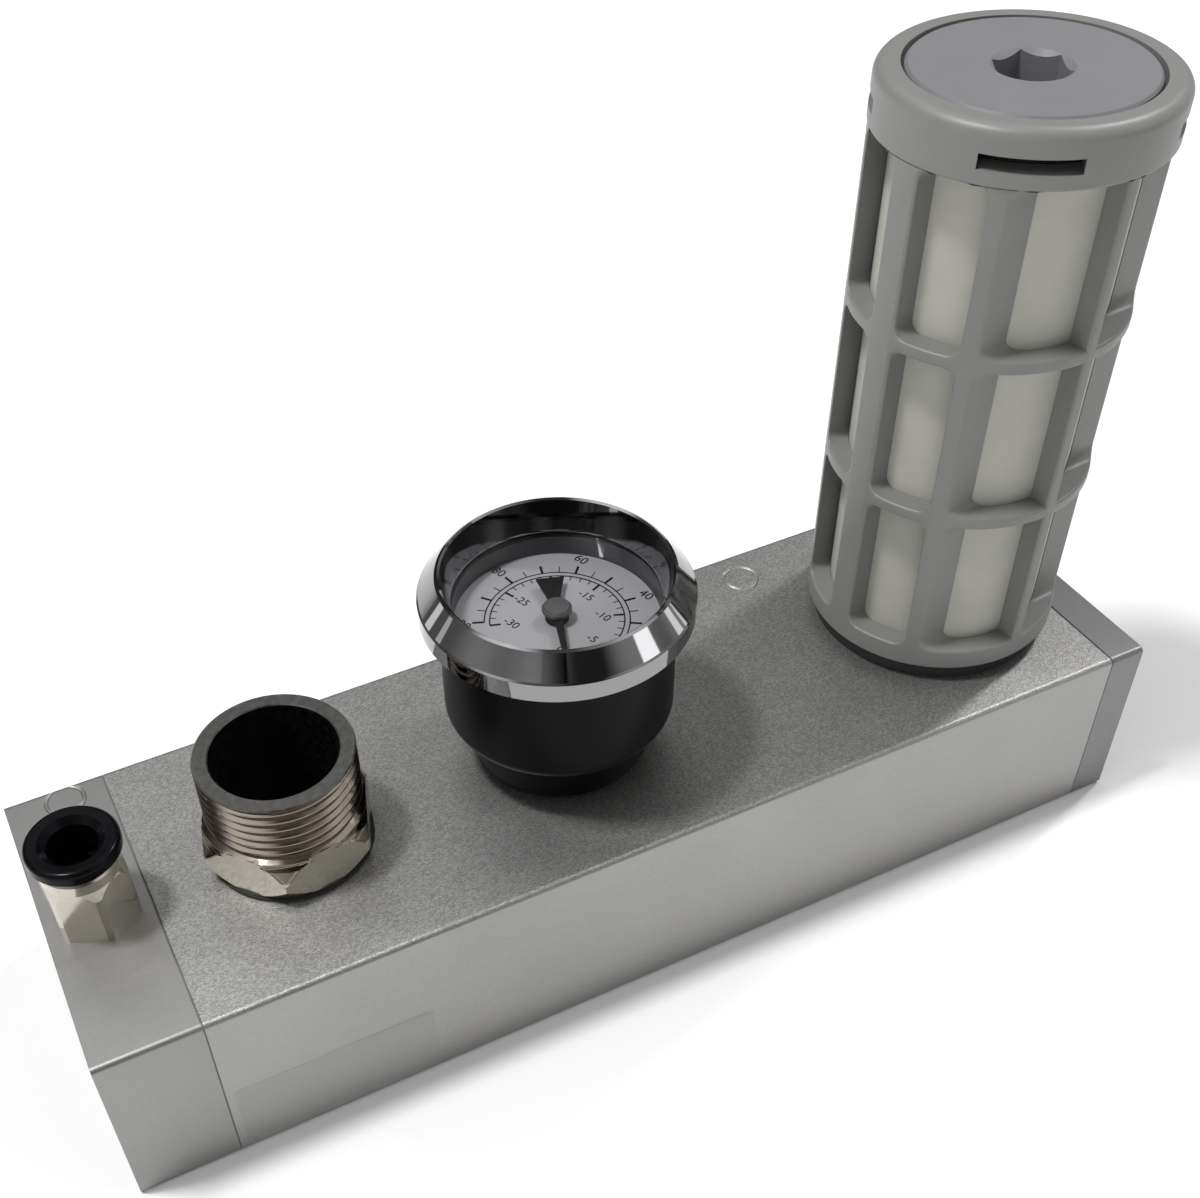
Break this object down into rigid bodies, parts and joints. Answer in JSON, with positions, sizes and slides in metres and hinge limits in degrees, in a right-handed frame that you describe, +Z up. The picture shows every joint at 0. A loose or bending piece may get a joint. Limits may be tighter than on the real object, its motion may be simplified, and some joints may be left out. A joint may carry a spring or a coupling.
{
  "type": "vacuum ejector",
  "caption": "Multi-stage vacuum ejector: block body with push-in air inlet, threaded vacuum nipple, dial vacuum gauge and tall caged exhaust silencer on one centreline.",
  "frame": {"origin": "centre of the underside of the body", "axes": "+X along the body from air inlet to exhaust, +Z up out of the top face, +Y to the back"},
  "size_m": [0.2, 0.0602, 0.1392],
  "materials": {
    "aluminium_body": "bead-blasted, clear anodised",
    "aluminium_satin": "satin, clear anodised",
    "gasket_rubber": "black nitrile rubber",
    "gasket_fibre": "grey fibre sheet",
    "label_film": "clear film, unprinted",
    "screw_steel": "zinc-plated steel",
    "brass": "turned brass",
    "plate_aluminium": "as machined",
    "nickel_brass": "nickel plated",
    "spigot_brass": "nickel plated",
    "black_plastic": "black acetal",
    "case_black": "black lacquer",
    "spacer_black": "black",
    "dial_white": "white enamel",
    "gauge_glass": "clear flat glass",
    "bezel_chrome": "bright chrome",
    "pointer_black": "black",
    "pointer_cap": "dull grey",
    "silencer_plastic": "light grey moulding",
    "filter_media": "porous sintered plastic"
  },
  "bodies": {
    "ejector": {"main_body": "aluminium_body", "inlet_block": "aluminium_satin", "end_plate": "aluminium_satin", "inlet_gasket": "gasket_fibre", "end_gasket": "gasket_fibre", "inlet_block_screws": "screw_steel", "end_plate_screws": "screw_steel", "film_label": "label_film", "supply_nozzle": "brass", "second_stage_nozzle": "brass", "third_stage_nozzle": "brass", "outlet_diffuser": "brass", "first_stage_plate": "plate_aluminium", "second_stage_plate": "plate_aluminium", "third_stage_plate": "plate_aluminium", "second_stage_valve": "gasket_rubber", "third_stage_valve": "gasket_rubber", "gallery_partition": "plate_aluminium", "fitting_body": "nickel_brass", "fitting_tube_seal": "gasket_rubber", "fitting_grab_ring": "screw_steel", "fitting_collar": "nickel_brass", "vacuum_nipple": "nickel_brass", "nipple_seal": "gasket_rubber", "gauge_seal": "gasket_rubber", "gauge_socket": "brass", "bourdon_tube": "brass", "gauge_movement": "brass", "gauge_case": "case_black", "gauge_dial": "dial_white", "gauge_spacer": "spacer_black", "gauge_glass": "gauge_glass", "gauge_bezel": "bezel_chrome", "silencer_gasket": "gasket_rubber", "silencer_spigot": "spigot_brass", "silencer_cage": "silencer_plastic", "silencer_filter": "filter_media", "silencer_seal": "gasket_rubber", "silencer_cap": "silencer_plastic"},
    "release_button": {"release_sleeve": "black_plastic"},
    "pointer": {"gauge_pointer": "pointer_black", "pointer_cap": "pointer_cap"}
  },
  "joints": [
    {"name": "release_button_press", "type": "slide", "parent": "ejector", "child": "release_button", "axis": [0, 0, -1], "range_m": [0, 0.0012], "stiffness_N_per_m": 1500},
    {"name": "pointer_sweep", "type": "hinge", "parent": "ejector", "child": "pointer", "pos_m": [-0.0067, 0, 0.0645], "axis": [0, 0, 1], "range_deg": [0, 267], "stiffness_Nm_per_rad": 0.0005}
  ]
}
